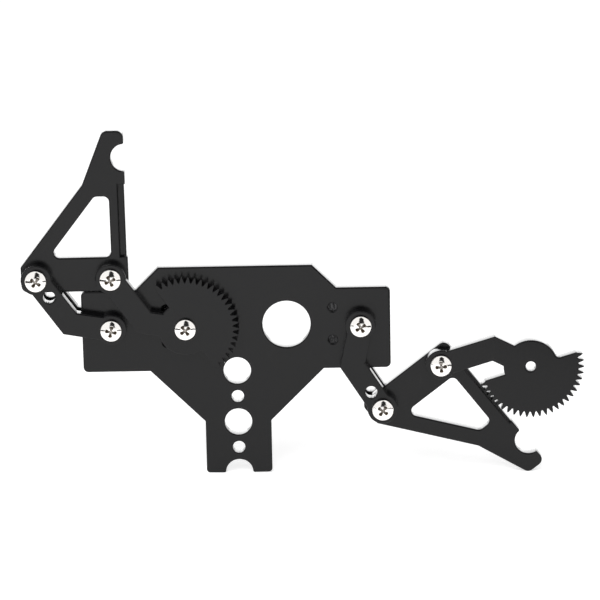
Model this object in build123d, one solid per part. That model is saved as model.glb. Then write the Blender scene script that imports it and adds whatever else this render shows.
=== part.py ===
from build123d import *
import math
import os

# Robot claw gripper: flat plates on screw pivots, with two geared arms that drive two parallel jaws.
# Sizes are in millimetres. X runs to the right, Z up the plate, and the front faces -Y.
# The origin is the centre of the lower hub hole in the stem, on the base plate's back face.

# Sheet that every plate is cut from, and the play between stacked plates
plate_thickness = 3.2
running_gap = 0.1
corner_radius = 1.5
edge_break = 0.5

# Hole pattern of the stem
hub_hole_diameter = 8.2
bolt_hole_diameter = 3.7
hole_pitch = 8.0
end_notch_diameter = 8.2

# Base plate outline: the wings run past the link pivots, and the crown stands clear of the open jaws
stem_width = 19.8
stem_end = 16.0
stem_corner_radius = 1.1
stem_top = 0.25
wing_bottom = 16.25
wing_margin = 8.9
shoulder_rise = 11.0
crown_rise = 7.1
crown_clearance = 1.63

# Pivots on the base plate, and the servo's place
pivot_height = 30.2
link_spacing = 22.0
servo_bore_diameter = 14.3
servo_screw_diameter = 2.7
servo_screw_depth = 2.0
servo_screw_spacing = 10.0
servo_screw_reach = 13.8
servo_hole_pitch = 49.5

# Screw pivots
screw_diameter = 3.5
screw_head_diameter = 6.4
screw_head_height = 2.1
screw_head_edge = 0.7
screw_crown_diameter = 4.0
screw_recess_width = 1.1
screw_recess_length = 3.5
screw_recess_depth = 1.3
short_screw_length = 12.7
long_screw_length = 15.9
nut_width = 7.94
nut_height = 4.4
nut_collar_height = 1.3
nut_collar_diameter = 7.3
insert_diameter = 6.2
insert_height = 1.1
thread_play = 0.03

# Arms and links: a bent strut with a round eye at each pivot
arm_length = 26.75
strut_width = 7.1
eye_radius = 4.55
elbow_reach = 11.2
elbow_drop = 5.3
link_hole_reach = 6.3

# Half gear at the root of each arm
gear_teeth = 50
gear_module = 0.6
tooth_pressure_angle = 20.0
tooth_tip_height = 0.85
tooth_root_depth = 0.88
tooth_root_round = 0.3
gear_hub_radius = 8.1
gear_fan_angle = 19.1
gear_fan_fillet = 1.2
horn_hole_diameter = 3.0

# Jaw outline, measured from the arm pivot: reach towards the link pivot, height towards the tip
jaw_lip = 5.2
jaw_base = 4.5
jaw_heel = 4.7
jaw_heel_rise = 3.25
jaw_height = 44.1
jaw_knee_reach = 7.5
jaw_knee_height = 27.9
jaw_tip_reach = 0.9
jaw_corner_radius = 2.1
jaw_frame_width = 4.9
jaw_window_floor = 5.95
jaw_window_headroom = 3.55
jaw_window_radius = 1.7
hook_radius = 4.1
hook_set_out = 0.14
hook_drop = 8.1

# Gripping rail along the jaw's lip, which a slip-on pad hooks over
rail_start = 5.8
rail_headroom = 3.9
rail_set_back = 0.3
rail_width = 0.6
rail_groove_width = 1.3
rail_groove_depth = 1.7
rail_step_depth = 0.9

# Pose: the left side rests open on the shoulder, the right side hangs from its link
stop_gap = 0.1
right_link_angle = -76.4
right_jaw_angle = 37.5
right_arm_angle = -1.9
left_jaw_lean = -0.3
right_jaw_lean = 0.4

layer_pitch = plate_thickness + running_gap
gear_pitch_radius = gear_module * gear_teeth / 2
lip_recess = rail_set_back + rail_width
hook_height = jaw_height - hook_drop
rail_end = hook_height - hook_radius - rail_headroom
jaw_window_top = jaw_knee_height - jaw_window_headroom


def polar(angle, radius):
    return (radius * math.cos(math.radians(angle)), radius * math.sin(math.radians(angle)))


def away(start, angle, radius):
    step = polar(angle, radius)
    return (start[0] + step[0], start[1] + step[1])


# Pivot places, as (X, Z): the open jaw's base rests just over the shoulder
open_rise = shoulder_rise + stop_gap + jaw_base
open_angle = math.degrees(math.asin(open_rise / arm_length))
left_gear_pivot = (-gear_pitch_radius, pivot_height)
servo_axis = (gear_pitch_radius, pivot_height)
left_link_pivot = (left_gear_pivot[0] - link_spacing, pivot_height)
right_link_pivot = (servo_axis[0] + link_spacing, pivot_height)
left_jaw_arm_pivot = away(left_gear_pivot, 180 - open_angle, arm_length)
left_jaw_link_pivot = away(left_link_pivot, 180 - open_angle, arm_length)
right_jaw_link_pivot = away(right_link_pivot, right_link_angle, arm_length)
right_jaw_arm_pivot = away(right_jaw_link_pivot, right_jaw_angle, link_spacing)
right_gear_centre = away(right_jaw_arm_pivot, right_arm_angle, arm_length)


def plate(outline):
    return extrude(outline, amount=plate_thickness)


def round_corners(outline, radius, places, reach=0.3):
    chosen = [v for v in outline.vertices() if any(math.dist((v.X, v.Y), p) < reach for p in places)]
    return fillet(chosen, radius)


def hole(place, diameter):
    return Pos(*place) * Circle(diameter / 2)


def set_on_layer(solid, layer, place, angle, turned_over=False):
    if turned_over:
        solid = Pos(0, 0, plate_thickness) * Rot(0, 180, 0) * solid
    return Plane.XZ.offset(layer * layer_pitch) * Pos(*place) * Rot(0, 0, angle) * solid


# Base plate: a stem that widens at 45 degrees into two wings, with a crown between them
def base_outline():
    half_stem = stem_width / 2
    half_shoulder = right_link_pivot[0] + wing_margin
    flare = half_stem + wing_bottom - stem_top
    shoulder_height = pivot_height + shoulder_rise
    crown_foot = -left_jaw_arm_pivot[0] - jaw_lip - crown_clearance
    right = [
        (half_stem, -stem_end),
        (half_stem, stem_top),
        (flare, wing_bottom),
        (half_shoulder, wing_bottom),
        (half_shoulder, shoulder_height),
        (crown_foot, shoulder_height),
        (crown_foot - crown_rise, shoulder_height + crown_rise),
    ]
    left = [(-x, z) for x, z in reversed(right)]
    outline = make_face(Polyline(*right, *left, close=True))
    wings = [(s * half_shoulder, z) for s in (-1, 1) for z in (wing_bottom, shoulder_height)]
    outline = round_corners(outline, corner_radius, wings)
    outline = round_corners(outline, stem_corner_radius, [(-half_stem, -stem_end), (half_stem, -stem_end)])
    outline -= hole((0, -stem_end), end_notch_diameter)
    notch_lips = [(s * end_notch_diameter / 2, -stem_end) for s in (-1, 1)]
    return round_corners(outline, edge_break, notch_lips)


def base_plate():
    outline = base_outline()
    for height in (0, 2 * hole_pitch):
        outline -= hole((0, height), hub_hole_diameter)
    for height in (-hole_pitch, hole_pitch):
        outline -= hole((0, height), bolt_hole_diameter)
    for pivot in (left_gear_pivot, left_link_pivot, right_link_pivot):
        outline -= hole(pivot, bolt_hole_diameter)
    outline -= hole(servo_axis, servo_bore_diameter)
    solid = plate(outline)
    near_screws = servo_axis[0] + servo_screw_reach
    for x in (near_screws, near_screws - servo_hole_pitch):
        for side in (-1, 1):
            place = (x, pivot_height + side * servo_screw_spacing / 2)
            pilot = extrude(hole(place, servo_screw_diameter), amount=servo_screw_depth)
            solid -= Pos(0, 0, plate_thickness - servo_screw_depth) * pilot
    return set_on_layer(solid, 0, (0, 0), 0)


# Arms and links: the strut's centre line runs from the root pivot by the elbow to the jaw pivot
def strut():
    root, elbow, tip = (0, 0), (elbow_reach, -elbow_drop), (arm_length, 0)
    centre_line = Polyline(root, elbow, tip)
    half = strut_width / 2
    left_side = offset(centre_line, half, side=Side.LEFT, kind=Kind.INTERSECTION, closed=False)
    right_side = offset(centre_line, half, side=Side.RIGHT, kind=Kind.INTERSECTION, closed=False)
    upper = sorted(left_side.vertices(), key=lambda v: v.X)
    lower = sorted(right_side.vertices(), key=lambda v: -v.X)
    corners = [(v.X, v.Y) for v in upper + lower]
    body = make_face(Polyline(*corners, close=True))
    body = round_corners(body, edge_break, [corners[1], corners[4]])
    return body + hole(tip, 2 * eye_radius)


def link():
    outline = strut() + hole((0, 0), 2 * eye_radius)
    outline -= hole((0, 0), bolt_hole_diameter)
    outline -= hole((arm_length, 0), bolt_hole_diameter)
    strut_angle = math.degrees(math.atan2(elbow_drop, arm_length - elbow_reach))
    spare = away((arm_length, 0), 180 + strut_angle, link_hole_reach)
    outline -= hole(spare, bolt_hole_diameter)
    return plate(outline)


# Half gear with involute teeth, cut off along a straight line through its centre
def involute(angle):
    return math.tan(angle) - angle


def tooth_flank(start_radius, tip_radius, steps=4):
    pitch_half = math.pi / (2 * gear_teeth)
    pressure = math.radians(tooth_pressure_angle)
    base_radius = gear_pitch_radius * math.cos(pressure)
    flank = []
    for step in range(steps):
        radius = start_radius + (tip_radius - start_radius) * step / (steps - 1)
        # Under the base circle the flank runs straight towards the centre
        roll = math.acos(base_radius / max(radius, base_radius))
        flank.append((radius, math.degrees(pitch_half + involute(pressure) - involute(roll))))
    return flank


def half_gear():
    root_radius = gear_pitch_radius - tooth_root_depth
    tip_radius = gear_pitch_radius + tooth_tip_height
    flank = tooth_flank(root_radius + tooth_root_round, tip_radius)
    tooth_pitch = 360 / gear_teeth
    points = [polar(gear_fan_angle, root_radius)]
    for tooth in range(gear_teeth // 2):
        middle = gear_fan_angle + tooth_pitch * (tooth + 0.5)
        points += [polar(middle - half, radius) for radius, half in flank]
        points += [polar(middle + half, radius) for radius, half in reversed(flank)]
        points.append(polar(middle + tooth_pitch / 2, root_radius))
    return make_face(Polyline(*points, close=True))


def gear_arm(centre_hole_diameter):
    fan = half_gear() + hole((0, 0), 2 * gear_hub_radius)
    fan_corner = polar(gear_fan_angle + 180, gear_hub_radius)
    fan = round_corners(fan, gear_fan_fillet, [fan_corner])
    outline = fan + strut()
    outline -= hole((0, 0), centre_hole_diameter)
    outline -= hole((arm_length, 0), bolt_hole_diameter)
    return plate(outline)


# Jaw: a straight lip and a sloping back around a window, with a round hook notch under the nose
def slope_at(start, end, height):
    share = (height - start[1]) / (end[1] - start[1])
    return start[0] + share * (end[0] - start[0])


def jaw_window():
    heel = (link_spacing + jaw_heel, jaw_heel_rise)
    knee = (jaw_knee_reach, jaw_knee_height)
    run, climb = heel[0] - knee[0], knee[1] - heel[1]
    shift = jaw_frame_width * math.hypot(run, climb) / climb
    near = jaw_frame_width - jaw_lip
    corners = [
        (near, jaw_window_floor),
        (slope_at(heel, knee, jaw_window_floor) - shift, jaw_window_floor),
        (slope_at(heel, knee, jaw_window_top) - shift, jaw_window_top),
        (near, jaw_window_top),
    ]
    window = make_face(Polyline(*corners, close=True))
    return fillet(window.vertices(), jaw_window_radius)


def jaw_outline():
    heel_reach = link_spacing + jaw_heel
    corners = [
        (-jaw_lip, -jaw_base),
        (heel_reach, -jaw_base),
        (heel_reach, jaw_heel_rise),
        (jaw_knee_reach, jaw_knee_height),
        (jaw_tip_reach, jaw_height),
        (-jaw_lip, jaw_height),
    ]
    outline = make_face(Polyline(*corners, close=True))
    outline = round_corners(outline, jaw_corner_radius, corners[:2])
    outline = round_corners(outline, edge_break, corners[2:3])
    outline = round_corners(outline, jaw_corner_radius, corners[4:])
    outline -= hole((-jaw_lip - hook_set_out, hook_height), 2 * hook_radius)
    lips = [(-jaw_lip, hook_height + side * hook_radius) for side in (-1, 1)]
    outline = round_corners(outline, edge_break, lips)
    outline -= jaw_window()
    outline -= hole((0, 0), bolt_hole_diameter)
    outline -= hole((link_spacing, 0), bolt_hole_diameter)
    return outline


def jaw():
    solid = plate(jaw_outline())
    length = rail_end - rail_start
    middle = (rail_start + rail_end) / 2
    set_back = Box(rail_set_back, length, plate_thickness, align=(Align.MIN, Align.CENTER, Align.MIN))
    step = Box(lip_recess, length, rail_step_depth, align=(Align.MIN, Align.CENTER, Align.MAX))
    groove = Box(rail_groove_width, length, rail_groove_depth, align=(Align.MIN, Align.CENTER, Align.MIN))
    solid -= Pos(-jaw_lip, middle, 0) * set_back
    solid -= Pos(-jaw_lip, middle, plate_thickness) * step
    solid -= Pos(lip_recess - jaw_lip, middle, 0) * groove
    return solid


# The jaw askew on its two screws, as far as the play in their holes lets it
def leaning_jaw(lean):
    middle = link_spacing / 2
    return Pos(middle, 0) * Rot(0, 0, lean) * Pos(-middle, 0) * jaw()


# Pan-head screw with a cross recess, pointing backwards from the front of its stack
def screw(length):
    head = extrude(Circle(screw_head_diameter / 2), amount=screw_head_height)
    slope_height = screw_head_height - screw_head_edge
    slope_width = (screw_head_diameter - screw_crown_diameter) / 2
    rim = head.edges().group_by(Axis.Z)[-1]
    head = chamfer(rim, slope_height, slope_width, reference=head.faces().sort_by(Axis.Z)[-2])
    shank = Cylinder(screw_diameter / 2, length, align=(Align.CENTER, Align.CENTER, Align.MAX))
    bar = Box(screw_recess_length, screw_recess_width, screw_recess_depth)
    cross = Pos(0, 0, screw_head_height - screw_recess_depth / 2) * (bar + Rot(0, 0, 90) * bar)
    return head + shank - cross


# Lock nut: a hexagon with a round collar that holds a nylon ring
def nut():
    hexagon = RegularPolygon(nut_width / 2, 6, major_radius=False)
    body = extrude(hexagon, amount=nut_height - nut_collar_height)
    collar = Cylinder(nut_collar_diameter / 2, nut_height, align=(Align.CENTER, Align.CENTER, Align.MIN))
    pocket = extrude(Circle(insert_diameter / 2 + thread_play), amount=insert_height)
    bore = Cylinder(screw_diameter / 2 + thread_play, 3 * nut_height)
    return body + collar - Pos(0, 0, nut_height - insert_height) * pocket - bore


def nut_insert():
    ring = Circle(insert_diameter / 2) - Circle(screw_diameter / 2 + thread_play)
    return Pos(0, 0, nut_height - insert_height) * extrude(ring, amount=insert_height - thread_play)


# Screw, lock nut and nylon ring at one pivot, with plates_behind layers behind the base plate's layer
def fasten(name, place, plates_behind, length, turn):
    front = 2 * plate_thickness + 2 * running_gap
    back = plates_behind * layer_pitch + running_gap
    screw_place = Plane.XZ.offset(front) * Pos(*place) * Rot(0, 0, turn)
    nut_place = Plane.XZ.offset(-back) * Pos(*place) * Rot(0, 180, 0) * Rot(0, 0, turn)
    return {
        name + "_screw": screw_place * screw(length),
        name + "_nut": nut_place * nut(),
        name + "_nut_insert": nut_place * nut_insert(),
    }


# Which pivot gets which screw: (name, place, plates behind the base layer, screw length, turn)
pivot_stacks = [
    ("left_gear_pivot", left_gear_pivot, 0, short_screw_length, 36),
    ("left_link_pivot", left_link_pivot, 1, long_screw_length, 78),
    ("left_jaw_arm", left_jaw_arm_pivot, 0, short_screw_length, 24),
    ("left_jaw_link", left_jaw_link_pivot, 1, long_screw_length, 56),
    ("right_link_pivot", right_link_pivot, 1, long_screw_length, 31),
    ("right_jaw_link", right_jaw_link_pivot, 1, long_screw_length, 54),
    ("right_jaw_arm", right_jaw_arm_pivot, 0, short_screw_length, 4),
]


def assembly():
    left_turn = -open_angle
    pieces = {
        "base_plate": base_plate(),
        "left_gear_arm": set_on_layer(gear_arm(bolt_hole_diameter), 1, left_gear_pivot, left_turn, True),
        "right_gear_arm": set_on_layer(gear_arm(horn_hole_diameter), 1, right_gear_centre, right_arm_angle + 180),
        "left_jaw": set_on_layer(leaning_jaw(left_jaw_lean), 0, left_jaw_arm_pivot, 0, True),
        "right_jaw": set_on_layer(leaning_jaw(right_jaw_lean), 0, right_jaw_arm_pivot, right_jaw_angle + 180),
    }
    for name, layer in (("front", 1), ("rear", -1)):
        pieces[f"left_{name}_link"] = set_on_layer(link(), layer, left_link_pivot, left_turn, True)
        pieces[f"right_{name}_link"] = set_on_layer(link(), layer, right_link_pivot, right_link_angle)
    for stack in pivot_stacks:
        pieces.update(fasten(*stack))
    return pieces


os.makedirs("parts", exist_ok=True)
for node, piece in assembly().items():
    export_step(piece, f"parts/{node}.step")
    box = piece.bounding_box()
    print(f"{node}: {box.size.X:.1f} x {box.size.Y:.1f} x {box.size.Z:.1f} mm, {piece.volume:.0f} mm3")
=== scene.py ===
import math

import bmesh
import bpy
import numpy as np
from mathutils import Matrix, Vector


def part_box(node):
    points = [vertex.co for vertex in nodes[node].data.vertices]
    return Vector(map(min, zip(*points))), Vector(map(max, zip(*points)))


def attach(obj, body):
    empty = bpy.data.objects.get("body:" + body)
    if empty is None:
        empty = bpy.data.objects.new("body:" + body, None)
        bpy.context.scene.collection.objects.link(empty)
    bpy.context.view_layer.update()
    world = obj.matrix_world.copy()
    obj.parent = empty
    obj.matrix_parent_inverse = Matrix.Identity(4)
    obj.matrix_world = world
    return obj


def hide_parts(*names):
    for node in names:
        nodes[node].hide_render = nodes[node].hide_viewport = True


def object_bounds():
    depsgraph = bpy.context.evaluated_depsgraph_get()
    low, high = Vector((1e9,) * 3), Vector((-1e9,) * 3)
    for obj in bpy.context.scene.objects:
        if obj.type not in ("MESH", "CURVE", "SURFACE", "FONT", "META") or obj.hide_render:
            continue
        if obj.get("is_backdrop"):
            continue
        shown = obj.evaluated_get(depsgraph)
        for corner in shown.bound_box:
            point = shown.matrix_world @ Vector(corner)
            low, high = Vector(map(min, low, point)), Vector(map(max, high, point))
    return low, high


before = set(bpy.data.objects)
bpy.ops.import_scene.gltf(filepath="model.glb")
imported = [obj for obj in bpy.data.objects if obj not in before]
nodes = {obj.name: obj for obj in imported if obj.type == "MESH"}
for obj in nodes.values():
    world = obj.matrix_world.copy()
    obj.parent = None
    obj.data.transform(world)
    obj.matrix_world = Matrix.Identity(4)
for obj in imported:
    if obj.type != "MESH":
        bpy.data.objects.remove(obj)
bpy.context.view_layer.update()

mm = 0.001

# Which body carries each plate
plateBodies = {
    "base_plate": "base",
    "left_gear_arm": "left_gear_arm",
    "right_gear_arm": "right_gear_arm",
    "left_jaw": "left_jaw",
    "right_jaw": "right_jaw",
    "left_front_link": "left_links",
    "left_rear_link": "left_links",
    "right_front_link": "right_links",
    "right_rear_link": "right_links",
}

# Which body carries each pivot's screw and nut, and how far the cross recess is turned, in degrees
pivots = {
    "left_gear_pivot": ("base", 36),
    "left_link_pivot": ("base", 78),
    "left_jaw_arm": ("left_gear_arm", 24),
    "left_jaw_link": ("left_links", 56),
    "right_link_pivot": ("base", 31),
    "right_jaw_link": ("right_links", 54),
    "right_jaw_arm": ("right_gear_arm", 4),
}


# A shader socket that takes part in sums as a number does
class Signal:
    def __init__(self, tree, socket=None):
        self.tree = tree
        self.socket = socket

    def plug(self, value, target):
        if isinstance(value, Signal):
            self.tree.links.new(value.socket, target)
        else:
            target.default_value = value

    # any node: its type, what goes into its inputs, its settings, and which output is passed on
    def node(self, kind, inputs=None, output=0, **settings):
        made = self.tree.nodes.new(kind)
        for name, value in settings.items():
            setattr(made, name, value)
        for key, value in (inputs or {}).items():
            self.plug(value, made.inputs[key])
        return Signal(self.tree, made.outputs[output])

    def sum(self, operation, *values):
        return self.node("ShaderNodeMath", dict(enumerate(values)), operation=operation)

    def __add__(self, other):
        return self.sum("ADD", self, other)

    def __radd__(self, other):
        return self.sum("ADD", other, self)

    def __sub__(self, other):
        return self.sum("SUBTRACT", self, other)

    def __rsub__(self, other):
        return self.sum("SUBTRACT", other, self)

    def __mul__(self, other):
        return self.sum("MULTIPLY", self, other)

    def __rmul__(self, other):
        return self.sum("MULTIPLY", other, self)

    def __truediv__(self, other):
        return self.sum("DIVIDE", self, other)

    def __rtruediv__(self, other):
        return self.sum("DIVIDE", other, self)

    def __abs__(self):
        return self.sum("ABSOLUTE", self)

    # 0 below low, 1 above high, smooth between them
    def step(self, low, high):
        inputs = {"Value": self, "From Min": low, "From Max": high}
        return self.node("ShaderNodeMapRange", inputs, interpolation_type="SMOOTHSTEP")

    # first colour where the signal is 0, last colour where it is 1
    def colour(self, first, last):
        inputs = {"Factor": self, 6: first, 7: last}
        return self.node("ShaderNodeMix", inputs, output=2, data_type="RGBA")


def newMaterial(name):
    material = bpy.data.materials.new(name)
    material.use_nodes = True
    tree = material.node_tree
    tree.nodes.clear()
    shader = tree.nodes.new("ShaderNodeBsdfPrincipled")
    output = tree.nodes.new("ShaderNodeOutputMaterial")
    tree.links.new(shader.outputs[0], output.inputs["Surface"])
    return material, shader, Signal(tree)


# Noise on the piece's own coordinates, stretched by one scale for each axis, in features a metre
def noiseOn(signal, scales, detail=2.0, roughness=0.5):
    place = signal.node("ShaderNodeTexCoord", output="Object")
    stretched = signal.node("ShaderNodeMapping", {"Vector": place, "Scale": scales})
    inputs = {"Vector": stretched, "Scale": 1.0, "Detail": detail, "Roughness": roughness}
    return signal.node("ShaderNodeTexNoise", inputs)


# Fine relief from a height signal, as deep and as strong as the style says
def plugBump(signal, shader, height, style):
    distance, strength = style["bumpDistance"], style["bumpStrength"]
    inputs = {"Height": height, "Distance": distance, "Strength": strength}
    signal.plug(signal.node("ShaderNodeBump", inputs), shader.inputs["Normal"])


# Noise runs from 0 to 1 about this value
noiseMiddle = 0.5

# Black plate: even satin faces, cut edges with the cutter's lines across the thickness. In all
# materials, scales are in features a metre, and a span says where a mark starts and where it is full
blackPlate = {
    "colour": (0.0028, 0.0028, 0.0032, 1),
    "dustColour": (0.013, 0.013, 0.014, 1),
    "wallSpan": (0.25, 0.6),
    "grainScales": (5200, 5200, 5200),
    "cloudScales": (55, 55, 55),
    "cloudSpan": (0.42, 0.62),
    "lineScales": (4200, 160, 4200),
    "scuffScales": (900, 900, 210),
    "scuffSpan": (0.60, 0.74),
    "scuffDust": 0.5,
    "lineDust": 0.35,
    "faceRoughness": 0.23,
    "edgeRoughness": 0.22,
    "cloudRoughness": 0.05,
    "grainRoughness": 0.03,
    "lineRoughness": 0.16,
    "faceBump": 0.02,
    "edgeBump": 0.10,
    "bumpDistance": 0.1 * mm,
    "bumpStrength": 0.35,
    "index": 1.362,
    "coatIndex": 1.9,
    "coatRoughness": 0.16,
    "frontFace": 3.22,
    "layerPitch": 3.3,
    # The walls' coat weight rises towards the back face: a painted sheen
    "frontSheen": 0.38,
    "sheenSpan": (-0.05, 0.85),
    "leastSheen": 0.8,
    "lineSheen": 0.4,
}


def plateFinish():
    style = blackPlate
    material, shader, signal = newMaterial("black_plate")
    normal = signal.node("ShaderNodeNewGeometry", output="Normal")
    across = abs(signal.node("ShaderNodeSeparateXYZ", {0: normal}, output="Y"))
    wall = 1 - across.step(*style["wallSpan"])
    grain = noiseOn(signal, style["grainScales"], 2)
    cloud = noiseOn(signal, style["cloudScales"], 3)
    lines = noiseOn(signal, style["lineScales"], 2)
    scuff = noiseOn(signal, style["scuffScales"], 4, 0.6).step(*style["scuffSpan"])
    scuffDust = scuff * cloud.step(*style["cloudSpan"]) * style["scuffDust"]
    dust = scuffDust + wall * lines * style["lineDust"]
    shader.inputs["IOR"].default_value = style["index"]
    shader.inputs["Coat IOR"].default_value = style["coatIndex"]
    shader.inputs["Coat Roughness"].default_value = style["coatRoughness"]
    # Painted sheen: each wall's coat grows stronger towards the plate's back face, so the back of
    # the wall looks brighter; depths are in millimetres
    place = signal.node("ShaderNodeTexCoord", output="Object")
    depth = signal.node("ShaderNodeSeparateXYZ", {0: place}, output="Y") / mm
    along = signal.sum("FRACT", (depth + style["frontFace"]) / style["layerPitch"])
    paintedSheen = style["frontSheen"] + (1 - style["frontSheen"]) * along.step(*style["sheenSpan"])
    coat = wall * paintedSheen * (style["leastSheen"] + style["lineSheen"] * lines)
    signal.plug(coat, shader.inputs["Coat Weight"])
    signal.plug(dust.colour(style["colour"], style["dustColour"]), shader.inputs["Base Color"])
    cloudy = style["faceRoughness"] + (cloud - noiseMiddle) * style["cloudRoughness"]
    face = cloudy + (grain - noiseMiddle) * style["grainRoughness"]
    edge = style["edgeRoughness"] + (lines - noiseMiddle) * style["lineRoughness"]
    signal.plug(face + wall * (edge - face), shader.inputs["Roughness"])
    faceHeight = (1 - wall) * grain * style["faceBump"]
    plugBump(signal, shader, faceHeight + wall * lines * style["edgeBump"], style)
    return material


# Torn plastic at the bottom of a drilled hole: rough, with pale specks that are partly stress marks
# and partly painted glints
tornPlate = {
    "colour": (0.004, 0.004, 0.0045, 1),
    "paleAndGlintColour": (0.065, 0.065, 0.067, 1),
    "patchScales": (1700, 1700, 1700),
    "paleAndGlintSpan": (0.46, 0.58),
    "grainScales": (6000, 6000, 6000),
    "roughness": 0.38,
    "grainRoughness": 0.2,
    "bumpDistance": 0.02 * mm,
    "bumpStrength": 0.4,
    "index": 1.45,
}


def tornFinish():
    style = tornPlate
    material, shader, signal = newMaterial("torn_plate")
    patches = noiseOn(signal, style["patchScales"], 3, 0.6)
    grain = noiseOn(signal, style["grainScales"], 2)
    # Pale specks: partly stress marks, partly painted glints
    paleAndGlint = patches.step(*style["paleAndGlintSpan"])
    shader.inputs["IOR"].default_value = style["index"]
    signal.plug(paleAndGlint.colour(style["colour"], style["paleAndGlintColour"]), shader.inputs["Base Color"])
    rough = style["roughness"] + (grain - noiseMiddle) * style["grainRoughness"]
    signal.plug(rough, shader.inputs["Roughness"])
    plugBump(signal, shader, grain, style)
    return material


# Nickel screw: bright pan head, dull brown soil and painted shade in the recess
nickel = {
    "colour": (0.96, 0.935, 0.905, 1),
    "soilAndShadeColour": (0.085, 0.060, 0.036, 1),
    "patchScales": (1100, 1100, 1100),
    "grainScales": (6000, 6000, 6000),
    "soilAndShadeBase": 0.55,
    "soilAndShadeSpan": (0.35, 0.95),
    "soilAndShadeDullness": 0.7,
    "soilAndShadeRoughness": 0.3,
    "roughness": 0.10,
    "brushing": 0.04,
    "bumpDistance": 0.002 * mm,
    "bumpStrength": 0.2,
}


def nickelFinish():
    style = nickel
    material, shader, signal = newMaterial("nickel")
    cavity = signal.node("ShaderNodeAttribute", output="Fac", attribute_name="cavity")
    patches = noiseOn(signal, style["patchScales"], 3)
    grain = noiseOn(signal, style["grainScales"], 2)
    # Dark brown in the recess's arm ends: partly soil, partly painted shade of the deep recess
    soilAndShade = (cavity * (style["soilAndShadeBase"] + patches)).step(*style["soilAndShadeSpan"])
    signal.plug(soilAndShade.colour(style["colour"], style["soilAndShadeColour"]), shader.inputs["Base Color"])
    signal.plug(1 - soilAndShade * style["soilAndShadeDullness"], shader.inputs["Metallic"])
    brushed = style["roughness"] + (patches - noiseMiddle) * style["brushing"]
    signal.plug(brushed + soilAndShade * style["soilAndShadeRoughness"], shader.inputs["Roughness"])
    plugBump(signal, shader, grain, style)
    return material


# Zinc nut: greyer, with the marks of its forming
zinc = {
    "colour": (0.70, 0.70, 0.69, 1),
    "wornColour": (0.50, 0.49, 0.47, 1),
    "patchScales": (700, 700, 700),
    "wornSpan": (0.45, 0.7),
    "lineScales": (900, 5200, 900),
    "roughness": 0.27,
    "lineRoughness": 0.12,
    "wornRoughness": 0.1,
    "bumpDistance": 0.01 * mm,
    "bumpStrength": 0.4,
}


def zincFinish():
    style = zinc
    material, shader, signal = newMaterial("zinc")
    patches = noiseOn(signal, style["patchScales"], 4)
    lines = noiseOn(signal, style["lineScales"], 2)
    worn = patches.step(*style["wornSpan"])
    signal.plug(worn.colour(style["colour"], style["wornColour"]), shader.inputs["Base Color"])
    shader.inputs["Metallic"].default_value = 1.0
    formed = style["roughness"] + (lines - noiseMiddle) * style["lineRoughness"]
    signal.plug(formed + worn * style["wornRoughness"], shader.inputs["Roughness"])
    plugBump(signal, shader, lines, style)
    return material


# Nylon ring in the nut's collar
nylon = {
    "colour": (0.62, 0.63, 0.58, 1),
    "shade": (0.50, 0.51, 0.47, 1),
    "patchScales": (1500, 1500, 1500),
    "roughness": 0.42,
    "patchRoughness": 0.2,
    "scatter": 0.15,
    "scatterDistance": 0.5 * mm,
    "bumpDistance": 0.02 * mm,
    "bumpStrength": 0.3,
}


def nylonFinish():
    style = nylon
    material, shader, signal = newMaterial("nylon")
    patches = noiseOn(signal, style["patchScales"], 3)
    signal.plug(patches.colour(style["colour"], style["shade"]), shader.inputs["Base Color"])
    shader.inputs["Subsurface Weight"].default_value = style["scatter"]
    shader.inputs["Subsurface Scale"].default_value = style["scatterDistance"]
    rough = style["roughness"] + (patches - noiseMiddle) * style["patchRoughness"]
    signal.plug(rough, shader.inputs["Roughness"])
    plugBump(signal, shader, patches, style)
    return material


# Plates: each solid's own mesh, merged, with its front and back edges rounded over
plateEdges = {
    "frontWidth": 0.60 * mm,
    "frontDepth": 0.30 * mm,
    "backWidth": 0.12 * mm,
    "backDepth": 0.12 * mm,
    "rows": 5,
    "clearShare": 0.9,
    "flatTimes": 2.2,
    "flatMargin": 0.14 * mm,
    "shares": (0.1, 0.2, 0.35, 0.5, 0.7, 1.0),
    "leastShare": 0.05,
    "widthSlope": 0.5,
    "slopePasses": 40,
    "capFacing": 0.99,
    "capTolerance": 0.01 * mm,
    "mergeDistance": 0.0005 * mm,
    "sharpDegrees": 32,
}


# The closed loops round a flat cap, each a list of vertices with the cap on the left
def capLoops(capFaces):
    caps = set(capFaces)
    following = {}
    for face in capFaces:
        for loop in face.loops:
            if sum(other in caps for other in loop.edge.link_faces) == 1:
                following[loop.vert] = loop.link_loop_next.vert
    loops = []
    while following:
        start, vertex = following.popitem()
        ring = [start]
        while vertex is not start:
            ring.append(vertex)
            vertex = following.pop(vertex)
        loops.append(ring)
    return loops


# Unit steps into the cap at each corner: the sum of both sides' normals over one plus their product
def inwardSteps(points, facing):
    along = np.roll(points, -1, axis=0) - points
    along /= np.linalg.norm(along, axis=1)[:, None]
    normals = np.stack([along[:, 1], -along[:, 0]], axis=1) * facing
    before = np.roll(normals, 1, axis=0)
    return (before + normals) / (1 + (before * normals).sum(axis=1))[:, None]


# Least distance from each point to any of the straight runs from starts to ends
def clearance(points, starts, ends):
    run = ends - starts
    from0 = points[:, None, :] - starts[None, :, :]
    share = np.clip((from0 * run).sum(axis=2) / (run * run).sum(axis=1), 0, 1)
    return np.linalg.norm(from0 - share[:, :, None] * run, axis=2).min(axis=1)


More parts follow.
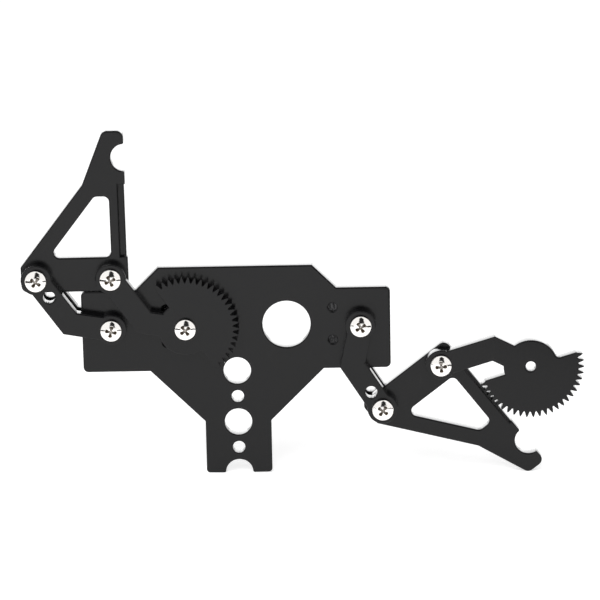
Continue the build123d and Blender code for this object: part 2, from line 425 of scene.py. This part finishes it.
# The widest rounding, from a row of ever wider ones, that leaves a flat of its own width between
# itself and every other edge; it changes along the outline no faster than by widthSlope
def roundingWidths(points, steps, starts, ends, width):
    style = plateEdges
    widths = np.full(len(points), width * style["leastShare"])
    still = np.full(len(points), True)
    for share in style["shares"]:
        deep = width * share * style["flatTimes"] + style["flatMargin"]
        still &= clearance(points + steps * deep, starts, ends) > deep * style["clearShare"]
        widths[still] = width * share
    before = np.linalg.norm(points - np.roll(points, 1, axis=0), axis=1) * style["widthSlope"]
    for _ in range(style["slopePasses"]):
        widths = np.minimum(widths, np.roll(widths, 1) + before)
        widths = np.minimum(widths, np.roll(widths + before, -1))
    return widths


# A quarter of an ellipse from the wall to the cap: in by width (1 - cos t), and below the cap by
# depth (1 - sin t), for t from 0 to a right angle
def roundCap(work, facing, width, depth):
    level = max(facing * vertex.co.y for vertex in work.verts) * facing
    near = plateEdges["capTolerance"]
    least = plateEdges["capFacing"]
    ahead = [face for face in work.faces if facing * face.normal.y > least]
    caps = [face for face in ahead if abs(face.calc_center_median().y - level) < near]
    rings = capLoops(caps)
    outlines = [np.array([(v.co.x, v.co.z) for v in ring]) for ring in rings]
    starts = np.concatenate(outlines)
    ends = np.concatenate([np.roll(outline, -1, axis=0) for outline in outlines])
    bmesh.ops.delete(work, geom=caps, context="FACES")
    rows = plateEdges["rows"]
    rim = []
    for ring, outline in zip(rings, outlines):
        steps = inwardSteps(outline, facing)
        widths = roundingWidths(outline, steps, starts, ends, width)
        for vertex, size in zip(ring, widths):
            vertex.co.y = level - facing * size * depth / width
        last = ring
        for row in range(1, rows + 1):
            t = math.pi / 2 * row / rows
            places = outline + steps * (widths * (1 - math.cos(t)))[:, None]
            depths = level - facing * widths * depth / width * (1 - math.sin(t))
            new = [work.verts.new((x, y, z)) for (x, z), y in zip(places, depths)]
            for k in range(len(ring)):
                after = (k + 1) % len(ring)
                work.faces.new((last[k], last[after], new[after], new[k]))
            last = new
        rim += [work.edges.get((last[k], last[(k + 1) % len(last)])) for k in range(len(last))]
    bmesh.ops.triangle_fill(work, use_beauty=True, edges=rim, normal=(0, facing, 0))


def dressPlate(name, body, material):
    style = plateEdges
    mesh = nodes[name].data.copy()
    mesh.name = name + "_dressed"
    work = bmesh.new()
    work.from_mesh(mesh)
    bmesh.ops.remove_doubles(work, verts=work.verts, dist=style["mergeDistance"])
    roundCap(work, -1, style["frontWidth"], style["frontDepth"])
    roundCap(work, 1, style["backWidth"], style["backDepth"])
    bmesh.ops.recalc_face_normals(work, faces=work.faces)
    for edge in work.edges:
        if len(edge.link_faces) == 2:
            edge.smooth = edge.calc_face_angle() < math.radians(style["sharpDegrees"])
    for face in work.faces:
        face.smooth = True
    work.to_mesh(mesh)
    work.free()
    mesh.materials.clear()
    mesh.materials.append(material)
    piece = bpy.data.objects.new(name + "_dressed", mesh)
    bpy.context.scene.collection.objects.link(piece)
    even = piece.modifiers.new("even faces", "WEIGHTED_NORMAL")
    even.keep_sharp = True
    even.weight = 100
    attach(piece, body)
    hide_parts(name)


# A surface is a grid: row i is one closed ring, column j one angle; radius and height are arrays
# of rows by columns. Each point is (radius cos angle, radius sin angle, height), local z forward.
def ringSurface(name, angles, radii, heights, turn, place, forward, attributes=None):
    rows, columns = radii.shape
    angle = angles + math.radians(turn)
    x = radii * np.cos(angle)
    y = radii * np.sin(angle)
    points = np.stack([place[0] + x, place[1] - forward * heights, place[2] + y], axis=-1)
    points = points.reshape(-1, 3)
    row = np.arange(rows - 1)[:, None] * columns
    column = np.arange(columns)[None, :]
    after = (column + 1) % columns
    corners = [row + column, row + after, row + columns + after, row + columns + column]
    quads = np.stack(corners, axis=-1).reshape(-1, 4)
    if forward < 0:
        quads = quads[:, ::-1]
    mesh = bpy.data.meshes.new(name)
    mesh.from_pydata(points.tolist(), [], quads.tolist())
    for key, values in (attributes or {}).items():
        layer = mesh.attributes.new(key, "FLOAT", "POINT")
        layer.data.foreach_set("value", values.astype(np.float32).ravel())
    return mesh


# Rows closer than this close to a point
ringMerge = 0.0004 * mm


# Merges the rings that close to a point, turns faces outwards, and marks the sharp edges
def finishRings(mesh, sharpDegrees):
    work = bmesh.new()
    work.from_mesh(mesh)
    bmesh.ops.remove_doubles(work, verts=work.verts, dist=ringMerge)
    bmesh.ops.recalc_face_normals(work, faces=work.faces)
    for face in work.faces:
        face.smooth = True
    for edge in work.edges:
        if len(edge.link_faces) == 2:
            edge.smooth = edge.calc_face_angle() < math.radians(sharpDegrees)
    work.to_mesh(mesh)
    work.free()


def addPiece(name, mesh, material, body, node):
    mesh.materials.append(material)
    piece = bpy.data.objects.new(name, mesh)
    bpy.context.scene.collection.objects.link(piece)
    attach(piece, body)
    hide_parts(node)


# Screws, in millimetres
panHead = {
    "domeRadius": 6.4,
    "domeRings": (2.3, 2.46),
    "rimStart": 2.62,
    "rimDrop": 0.62,
    "rimRows": 8,
    "underChamfer": 0.06,
    "armLength": 1.75,
    "armWidth": 1.12,
    "armEndFall": 0.10,
    "endColumns": 5,
    "sideColumns": 9,
    "recessDepth": 1.3,
    "floorShare": 0.62,
    "lipWidth": 0.05,
    "blendRadius": 2.15,
    "blendShares": (0.3, 0.6, 0.85),
    "threadPitch": 0.794,
    "threadDepth": 0.36,
    "threadStart": 0.05,
    "lastRowGap": 0.001,
    "threadRows": 8,
    "flankSlope": 1.25,
    "crestShare": 0.12,
    "tipChamfer": 0.35,
    "tipDepth": 0.42,
    "tipShare": 0.72,
    "sharpDegrees": 38,
}


# Radius of a cross at an angle: the arm's rounded end near the arm's middle, and its straight
# side elsewhere
def crossRadius(angles, length, width):
    off = np.abs((angles + np.pi / 4) % (np.pi / 2) - np.pi / 4)
    side = width / 2 / np.maximum(np.sin(off), 1e-6)
    fall = panHead["armEndFall"] * (off / math.asin(width / 2 / length)) ** 4
    end = length * (1 - fall)
    return np.minimum(np.minimum(side, length), np.maximum(end, 0.5 * width))


# Angles round the cross, evenly over each arm's end and over each side, and the same in every
# quarter
def crossAngles(length, width):
    corner = math.asin(width / 2 / length)
    armEnd = np.linspace(0, corner, panHead["endColumns"])[:-1]
    armSide = np.linspace(corner, math.pi / 4, panHead["sideColumns"])
    eighth = np.concatenate([armEnd, armSide])
    quarter = np.concatenate([eighth, math.pi / 2 - eighth[-2:0:-1]])
    return np.concatenate([quarter + k * math.pi / 2 for k in range(4)])


def screwMesh(name, place, radius, headHeight, shankRadius, shankLength, turn):
    style = panHead
    angles = crossAngles(style["armLength"], style["armWidth"])
    ones = np.ones_like(angles)
    cross = crossRadius(angles, style["armLength"], style["armWidth"])

    # The dome falls from the top by the sagitta of a large sphere
    def dome(r):
        return headHeight - (style["domeRadius"] - np.sqrt(style["domeRadius"] ** 2 - r**2))

    floor = headHeight - style["recessDepth"]
    share = style["floorShare"]
    # Soil and painted shade sit in the arms' ends, and the walls between the arms are bare
    arm = np.sqrt((cross - cross.min()) / (cross.max() - cross.min()))
    start = cross + style["lipWidth"]
    # Each ring: its radius, its height and how much soil and painted shade it holds
    rings = [
        (0.0 * ones, (floor - 0.10) * ones, 0.8 * ones),
        (0.5 * share * cross, (floor - 0.05) * ones, 0.3 + 0.4 * arm),
        (share * cross, (floor + 0.08) * ones, 0.85 * arm),
        (0.80 * cross, (floor + 0.55) * ones, 1.0 * arm),
        (0.97 * cross, dome(cross) - 0.12, 0.9 * arm),
        (cross, dome(cross) - 0.03, 0.4 * arm),
        (start, dome(start), 0.0 * ones),
    ]
    for blend in style["blendShares"]:
        r = start + blend * (style["blendRadius"] - start)
        rings.append((r, dome(r), 0.0 * ones))
    for r in (*style["domeRings"], style["rimStart"]):
        rings.append((r * ones, dome(r) * ones, 0.0 * ones))
    # The rim is a quarter of an ellipse from the dome's end down to the head's side
    edgeTop = dome(style["rimStart"])
    slope = math.asin(style["rimStart"] / style["domeRadius"])
    run, drop = radius - style["rimStart"], style["rimDrop"]
    for t in np.linspace(slope, math.pi / 2, style["rimRows"])[1:]:
        along = (math.sin(t) - math.sin(slope)) / (1 - math.sin(slope))
        down = (math.cos(slope) - math.cos(t)) / math.cos(slope)
        r = style["rimStart"] + run * along
        rings.append((r * ones, (edgeTop - drop * down) * ones, 0.0 * ones))
    chamfer = style["underChamfer"]
    rings.append((radius * ones, chamfer * ones, 0.0 * ones))
    rings.append(((radius - chamfer) * ones, 0.0 * ones, 0.0 * ones))
    rings.append((shankRadius * ones, 0.0 * ones, 0.0 * ones))
    radii = np.stack([r for r, _, _ in rings])
    heights = np.stack([h for _, h, _ in rings])
    cavity = np.stack([c for _, _, c in rings])

    # Shank: the radius follows a helix, a triangle wave of the height less the angle's share of
    # a turn
    pitch = style["threadPitch"]
    rowHeight = pitch / style["threadRows"]
    lastRow = shankLength - style["lastRowGap"]
    down = np.arange(style["threadStart"], lastRow, rowHeight)[:, None]
    wave = np.abs(2 * ((down / pitch + angles[None, :] / (2 * np.pi)) % 1.0) - 1)
    tip = np.clip((shankLength - down) / style["tipChamfer"], 0, 1)
    flank = style["flankSlope"] * (1 - wave) - style["crestShare"]
    inset = style["threadDepth"] * np.clip(flank, 0, 1)
    thread = shankRadius - np.maximum(inset, style["tipDepth"] * (1 - tip))
    end = np.stack([style["tipShare"] * shankRadius * ones, 0.0 * ones])
    radii = np.concatenate([radii, thread, end])
    heights = np.concatenate([heights, -down * ones[None, :], -shankLength * np.ones_like(end)])
    cavity = np.concatenate([cavity, np.zeros_like(thread), np.zeros_like(end)])
    attributes = {"cavity": cavity}
    mesh = ringSurface(name, angles, radii * mm, heights * mm, turn, place, 1, attributes)
    finishRings(mesh, style["sharpDegrees"])
    return mesh


# Nuts, in millimetres
lockNut = {
    "columns": 96,
    "chamferStart": 0.965,
    "chamferSlope": 0.55,
    "rollWidth": 0.28,
    "boreRadius": 1.79,
    "boreChamfer": 0.15,
    "sharpDegrees": 30,
}


# Radius of a hexagon at an angle: half the width over the cosine of the angle from the flat's
# middle
def hexagonRadius(angles, width):
    off = (angles + np.pi / 6) % (np.pi / 3) - np.pi / 6
    return width / 2 / np.cos(off)


def nutMesh(
    name, place, width, height, collarRadius, collarHeight, pocketRadius, pocketDepth, turn
):
    style = lockNut
    angles = np.arange(style["columns"]) * 2 * np.pi / style["columns"]
    ones = np.ones_like(angles)
    outline = hexagonRadius(angles, width)
    start = style["chamferStart"] * width / 2
    drop = style["chamferSlope"] * np.maximum(outline - start, 0)
    shoulder = height - collarHeight
    bore = style["boreRadius"]
    roll = style["rollWidth"]
    chamfer = style["boreChamfer"]
    # Each ring: its radius and its height, from the seat to the collar and down the pocket
    rings = [
        (bore * ones, chamfer * ones),
        ((bore + 0.2) * ones, 0.0 * ones),
        (start * ones, 0.0 * ones),
        (outline, drop),
        (outline, shoulder - drop),
        (start * ones, shoulder * ones),
        ((collarRadius + 0.1) * ones, shoulder * ones),
        (collarRadius * ones, (shoulder + 0.1) * ones),
        (collarRadius * ones, (height - roll) * ones),
        ((collarRadius - 0.08) * ones, (height - 0.08) * ones),
        ((collarRadius - roll) * ones, height * ones),
        ((pocketRadius + 0.06) * ones, (height - 0.05) * ones),
        (pocketRadius * ones, (height - 0.16) * ones),
        (pocketRadius * ones, (height - pocketDepth) * ones),
        (bore * ones, (height - pocketDepth) * ones),
        (bore * ones, chamfer * ones),
    ]
    radii = np.stack([r for r, _ in rings])
    heights = np.stack([h for _, h in rings])
    mesh = ringSurface(name, angles, radii * mm, heights * mm, turn, place, -1)
    finishRings(mesh, style["sharpDegrees"])
    return mesh


# Nylon ring, in millimetres
nylonRing = {"columns": 72, "waveHeight": 0.02, "sharpDegrees": 50}


# A shallow crown between the collar and the screw, closed below, slightly higher at one side
def insertMesh(name, place, outer, inner, bottom, top, turn):
    style = nylonRing
    angles = np.arange(style["columns"]) * 2 * np.pi / style["columns"]
    ones = np.ones_like(angles)
    wave = style["waveHeight"] * np.cos(angles)
    rings = [
        (inner * ones, bottom * ones),
        (outer * ones, bottom * ones),
        (outer * ones, (top - 0.16) * ones),
        ((outer - 0.12) * ones, (top - 0.05) * ones),
        ((outer + inner) / 2 * ones, (top - 0.01) * ones),
        ((inner + 0.28) * ones, top - 0.06 + wave),
        ((inner + 0.06) * ones, top - 0.2 + wave),
        (inner * ones, top - 0.38 + wave),
        (inner * ones, bottom * ones),
    ]
    radii = np.stack([r for r, _ in rings])
    heights = np.stack([h for _, h in rings])
    mesh = ringSurface(name, angles, radii * mm, heights * mm, turn, place, -1)
    finishRings(mesh, style["sharpDegrees"])
    return mesh


print("plates")
plateMaterial = plateFinish()
for plateName, plateBody in plateBodies.items():
    dressPlate(plateName, plateBody, plateMaterial)

# Floors of the two open pilot holes beside the servo bore, in millimetres
pilotFloor = {
    "places": ((28.8, 25.2), (28.8, 35.2)),
    "radius": 1.335,
    "rimDepth": 0.52,
    "centreDepth": 0.22,
    "waveDepth": 0.12,
    "leastDepth": 0.06,
    "base": 2.3,
    "columns": 48,
    "rows": 13,
    "sharpDegrees": 12,
}


# Torn plastic left by the drill: a low dome, depth = centre + (rim - centre)(r / radius)^2, with
# four waves of angle and radius for its roughness, closed by a side and a flat base
def pilotMesh(name, place):
    style = pilotFloor
    angles = np.arange(style["columns"]) * 2 * np.pi / style["columns"]
    shares = np.linspace(0, 1, style["rows"])[:, None]
    depth = style["centreDepth"] + (style["rimDepth"] - style["centreDepth"]) * shares**2
    rough = (
        np.sin(5 * angles + 9 * shares)
        + np.cos(3 * angles - 14 * shares)
        + np.sin(8 * angles + 21 * shares + 1)
        + np.cos(2 * angles + 30 * shares)
    )
    waves = style["waveDepth"] * rough * shares * (1.2 - shares)
    depth = np.maximum(depth + waves, style["leastDepth"])
    radii = shares * style["radius"] * np.ones_like(angles)
    low = np.stack([np.full_like(angles, style["radius"]), np.zeros_like(angles)])
    radii = np.concatenate([radii, low])
    heights = np.concatenate([style["base"] - depth, np.zeros_like(low)])
    x, z = place
    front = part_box("base_plate")[0].y
    point = (x * mm, front + style["base"] * mm, z * mm)
    mesh = ringSurface(name, angles, radii * mm, heights * mm, 0, point, 1)
    finishRings(mesh, style["sharpDegrees"])
    return mesh


print("pilot holes")
tornMaterial = tornFinish()
for number, place in enumerate(pilotFloor["places"]):
    mesh = pilotMesh("pilot_floor_%d" % (number + 1), place)
    mesh.materials.append(tornMaterial)
    piece = bpy.data.objects.new(mesh.name, mesh)
    bpy.context.scene.collection.objects.link(piece)
    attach(piece, "base")

print("screws and nuts")
nickelMaterial = nickelFinish()
zincMaterial = zincFinish()
nylonMaterial = nylonFinish()
fastener = {
    "headHeight": 2.1,
    "headRadius": 3.2,
    "shankRadius": 1.75,
    "nutWidth": 7.94,
    "nutHeight": 4.4,
    "collarRadius": 3.65,
    "collarHeight": 1.3,
    "ringRadius": 3.1,
    "ringHeight": 1.1,
    "ringPlay": 0.02,
}
for pivot, (pivotBody, recessTurn) in pivots.items():
    low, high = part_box(pivot + "_screw")
    nutLow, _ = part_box(pivot + "_nut")
    ringLow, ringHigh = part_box(pivot + "_nut_insert")
    middleX, middleZ = (low.x + high.x) / 2, (low.z + high.z) / 2
    seat = low.y + fastener["headHeight"] * mm
    mesh = screwMesh(
        pivot + "_screw_dressed",
        (middleX, seat, middleZ),
        fastener["headRadius"],
        fastener["headHeight"],
        fastener["shankRadius"],
        (high.y - seat) / mm,
        recessTurn,
    )
    addPiece(mesh.name, mesh, nickelMaterial, pivotBody, pivot + "_screw")
    mesh = nutMesh(
        pivot + "_nut_dressed",
        (middleX, nutLow.y, middleZ),
        fastener["nutWidth"],
        fastener["nutHeight"],
        fastener["collarRadius"],
        fastener["collarHeight"],
        fastener["ringRadius"],
        fastener["ringHeight"],
        recessTurn,
    )
    addPiece(mesh.name, mesh, zincMaterial, pivotBody, pivot + "_nut")
    mesh = insertMesh(
        pivot + "_nut_insert_dressed",
        (middleX, nutLow.y, middleZ),
        fastener["ringRadius"] - fastener["ringPlay"],
        fastener["shankRadius"] + fastener["ringPlay"],
        (ringLow.y - nutLow.y) / mm + fastener["ringPlay"],
        (ringHigh.y - nutLow.y) / mm,
        recessTurn,
    )
    addPiece(mesh.name, mesh, nylonMaterial, pivotBody, pivot + "_nut_insert")

# Floor and light. A mirrored lamp is seen in mirrors alone, and the other one is hidden from them
studio = {
    "floorColour": (0.80, 0.80, 0.80, 1),
    "floorGlow": 0.58,
    "floorHalfWidth": 0.55,
    "floorFront": -1.5,
    "floorBack": 3.0,
    "floorGap": 0.03 * mm,
    "footHeight": 0.02 * mm,
    "worldStrength": 0.55,
    "shade": {
        "side": 0.078,
        "footWidth": 0.31,
        "taper": 0.26,
        "edgeSpan": (-0.02, 0.02),
        "frontSpan": (0.3, 0.4),
        "foot": (0.08, 0.16),
        "top": (0.90, 0.97),
        "level": 0.02,
    },
    "rim": {
        "inner": 0.215,
        "innerBlur": 0.01,
        "outer": 0.46,
        "outerBlur": 0.02,
        "sideSpan": (0.35, 0.5),
        "frontShift": 0.1,
        "frontSpan": (0.0, 0.2),
        "level": 0.02,
        "centre": -0.02,
    },
    "lampTarget": (0.02, 0, 0.03),
    "key": {"power": 4.0, "turn": (40, 0, -25), "distance": 0.8, "width": 0.7, "height": 0.5},
    "back": {"power": 5.6, "turn": (70, 0, 180), "distance": 1.2, "width": 1.6, "height": 0.8},
}


# The floor passes under the stem's left foot and the hanging jaw's tip
def lowestPoint(name, leftmost):
    mesh = nodes[name].data
    points = np.zeros(len(mesh.vertices) * 3)
    mesh.vertices.foreach_get("co", points)
    points = points.reshape(-1, 3)
    lowest = points[points[:, 2] < points[:, 2].min() + studio["footHeight"]]
    order = np.argsort(lowest[:, 0])
    return lowest[order[0] if leftmost else order[-1]]


def layFloor():
    foot = lowestPoint("base_plate", True)
    tip = lowestPoint("right_jaw", False)
    slope = (tip[2] - foot[2]) / (tip[0] - foot[0])
    half = studio["floorHalfWidth"]
    front, back = studio["floorFront"], studio["floorBack"]
    corners = [(-half, front), (half, front), (half, back), (-half, back)]
    height = foot[2] - slope * foot[0] - studio["floorGap"]
    mesh = bpy.data.meshes.new("floor")
    mesh.from_pydata([(x, y, height + slope * x) for x, y in corners], [], [(0, 1, 2, 3)])
    floor = bpy.data.objects.new("floor", mesh)
    bpy.context.scene.collection.objects.link(floor)
    material, shader, signal = newMaterial("pale_floor")
    shader.inputs["Roughness"].default_value = 1.0
    shader.inputs["Specular IOR Level"].default_value = 0.0
    # Mirrors see a dark strip beyond the white floor, at both sides of the camera
    rim = studio["rim"]
    place = signal.node("ShaderNodeTexCoord", output="Object")
    x = signal.node("ShaderNodeSeparateXYZ", {0: place}, output="X") - rim["centre"]
    y = signal.node("ShaderNodeSeparateXYZ", {0: place}, output="Y")
    reach = signal.sum("SQRT", x * x + y * y)
    beyond = reach.step(rim["inner"] - rim["innerBlur"], rim["inner"] + rim["innerBlur"])
    past = reach.step(rim["outer"] - rim["outerBlur"], rim["outer"] + rim["outerBlur"])
    strip = beyond * (1 - past) * (abs(x) / reach).step(*rim["sideSpan"])
    strip = strip * (rim["frontShift"] - y / reach).step(*rim["frontSpan"])
    seen = signal.node("ShaderNodeLightPath", output="Is Camera Ray")
    mirrored = signal.node("ShaderNodeLightPath", output="Is Glossy Ray")
    dark = strip * mirrored * (1 - rim["level"])
    white = studio["floorColour"]
    black = (0, 0, 0, 1)
    signal.plug(dark.colour(white, black), shader.inputs["Base Color"])
    glow = signal.sum("MINIMUM", seen + mirrored, 1.0) * (1 - dark)
    signal.plug(glow.colour(black, (1, 1, 1, 1)), shader.inputs["Emission Color"])
    shader.inputs["Emission Strength"].default_value = studio["floorGlow"]
    mesh.materials.append(material)
    floor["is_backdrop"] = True


# World: white all round. Mirrors also show the dark shape of whoever stands behind the camera
def lightWorld():
    world = bpy.data.worlds.new("studio")
    bpy.context.scene.world = world
    world.use_nodes = True
    tree = world.node_tree
    tree.nodes.clear()
    signal = Signal(tree)
    way = signal.node("ShaderNodeTexCoord", output="Generated")
    x = signal.node("ShaderNodeSeparateXYZ", {0: way}, output="X")
    y = signal.node("ShaderNodeSeparateXYZ", {0: way}, output="Y")
    z = signal.node("ShaderNodeSeparateXYZ", {0: way}, output="Z")
    shade = studio["shade"]
    halfWidth = shade["footWidth"] - z * shade["taper"]
    dark = (halfWidth - abs(x - shade["side"])).step(*shade["edgeSpan"])
    dark = dark * (0 - y).step(*shade["frontSpan"])
    dark = dark * z.step(*shade["foot"]) * (1 - z.step(*shade["top"]))
    level = 1 - dark * (1 - shade["level"])
    seen = signal.node("ShaderNodeLightPath", output="Is Camera Ray")
    mirrored = signal.node("ShaderNodeLightPath", output="Is Glossy Ray")
    plain = (1 - seen) * (1 - mirrored) * studio["worldStrength"]
    strength = seen + (1 - seen) * mirrored * level + plain
    background = tree.nodes.new("ShaderNodeBackground")
    background.inputs["Color"].default_value = (1, 1, 1, 1)
    signal.plug(strength, background.inputs["Strength"])
    output = tree.nodes.new("ShaderNodeOutputWorld")
    tree.links.new(background.outputs[0], output.inputs["Surface"])


# A soft lamp looks at the object's middle from its own turn, at a distance
def hangLamp(name, style, mirrored):
    lamp = bpy.data.lights.new(name, "AREA")
    lamp.shape = "RECTANGLE"
    lamp.size = style["width"]
    lamp.size_y = style["height"]
    lamp.energy = style["power"]
    holder = bpy.data.objects.new(name, lamp)
    turn = [math.radians(angle) for angle in style["turn"]]
    holder.rotation_euler = turn
    back = Matrix.Rotation(turn[2], 3, "Z") @ Matrix.Rotation(turn[0], 3, "X") @ Vector((0, 0, 1))
    holder.location = Vector(studio["lampTarget"]) + back * style["distance"]
    holder.visible_camera = False
    holder.visible_diffuse = not mirrored
    holder.visible_glossy = mirrored
    bpy.context.scene.collection.objects.link(holder)


viewpoint = {
    "azimuth": -0.387640,
    "elevation": 15.730416,
    "roll": -1.114239,
    "distance": 0.9534003,
    "target": (0.0191293, 0.0, 0.0366915),
    "lens": 192.0,
    "sensorWidth": 36,
    "clipStart": 0.05,
    "clipEnd": 50,
}


# The camera stands back from its target along the azimuth and elevation, then rolls about its
# own axis
def placeCamera():
    azimuth = math.radians(viewpoint["azimuth"])
    elevation = math.radians(viewpoint["elevation"])
    roll = math.radians(viewpoint["roll"])
    forward = Vector(
        (
            math.sin(azimuth) * math.cos(elevation),
            math.cos(azimuth) * math.cos(elevation),
            -math.sin(elevation),
        )
    )
    right = Vector((math.cos(azimuth), -math.sin(azimuth), 0))
    up = right.cross(forward)
    turnedRight = right * math.cos(roll) + up * math.sin(roll)
    turnedUp = up * math.cos(roll) - right * math.sin(roll)
    place = Vector(viewpoint["target"]) - forward * viewpoint["distance"]
    camera = bpy.data.cameras.new("camera")
    camera.lens = viewpoint["lens"]
    camera.sensor_width = viewpoint["sensorWidth"]
    camera.clip_start = viewpoint["clipStart"]
    camera.clip_end = viewpoint["clipEnd"]
    holder = bpy.data.objects.new("camera", camera)
    axes = Matrix((turnedRight, turnedUp, -forward)).transposed().to_4x4()
    holder.matrix_world = Matrix.Translation(place) @ axes
    bpy.context.scene.collection.objects.link(holder)
    bpy.context.scene.camera = holder


print("studio")
layFloor()
lightWorld()
hangLamp("soft_front", studio["key"], mirrored=False)
hangLamp("soft_back", studio["back"], mirrored=True)
placeCamera()
bpy.context.scene.view_settings.view_transform = "Standard"

low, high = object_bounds()
